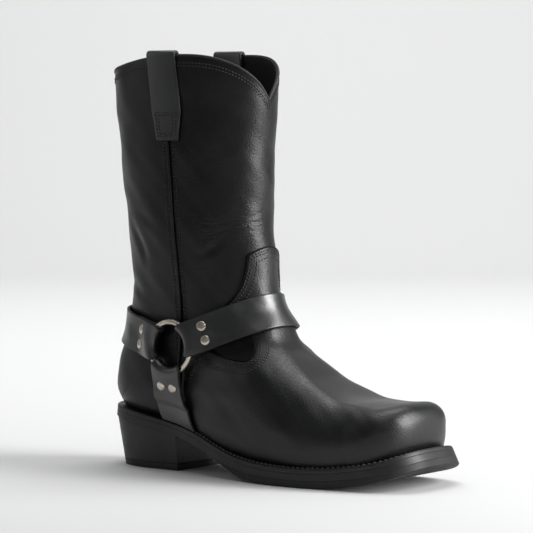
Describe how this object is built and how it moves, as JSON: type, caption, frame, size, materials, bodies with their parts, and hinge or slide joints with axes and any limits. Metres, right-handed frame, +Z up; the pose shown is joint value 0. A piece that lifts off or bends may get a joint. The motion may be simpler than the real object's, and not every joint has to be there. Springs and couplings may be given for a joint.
{
  "type": "harness boot",
  "caption": "Square-toed pull-on harness boot with a tall shaft, notched collar, pull loops, a stacked heel, and straps riveted round a metal ring on each side of the ankle.",
  "frame": {"origin": "on the ground under the middle of the bounding box", "axes": "+Z up, +Y towards the toe, +X towards the outer side of a right foot"},
  "size_m": [0.1146, 0.305, 0.3312],
  "materials": {
    "upper_leather": "satin smooth full grain, black",
    "strap_leather": "satin smooth, black, with dressed edges",
    "trim_leather": "satin smooth, black",
    "welt_leather": "dressed edge, charcoal",
    "sole_leather": "dressed edge, charcoal",
    "tread_rubber": "matt, charcoal",
    "lining": "matt lining leather",
    "nickel_hardware": "polished nickel plate"
  },
  "bodies": {
    "root": {"upper": "upper_leather", "vamp": "upper_leather", "insole": "lining", "welt": "welt_leather", "midsole": "sole_leather", "outsole": "tread_rubber", "heel_block": "sole_leather", "heel_lift": "tread_rubber", "strap_front": "strap_leather", "strap_heel": "strap_leather", "side_piping_outer": "trim_leather", "pull_loop_outer": "trim_leather", "strap_lower_outer": "strap_leather", "ring_outer": "nickel_hardware", "side_piping_inner": "trim_leather", "pull_loop_inner": "trim_leather", "strap_lower_inner": "strap_leather", "ring_inner": "nickel_hardware", "rivet_front_outer_1": "nickel_hardware", "rivet_front_outer_2": "nickel_hardware", "rivet_front_inner_1": "nickel_hardware", "rivet_front_inner_2": "nickel_hardware", "rivet_heel_outer_1": "nickel_hardware", "rivet_heel_outer_2": "nickel_hardware", "rivet_heel_inner_1": "nickel_hardware", "rivet_heel_inner_2": "nickel_hardware", "rivet_lower_outer_1": "nickel_hardware", "rivet_lower_outer_2": "nickel_hardware", "rivet_lower_inner_1": "nickel_hardware", "rivet_lower_inner_2": "nickel_hardware"}
  },
  "joints": []
}
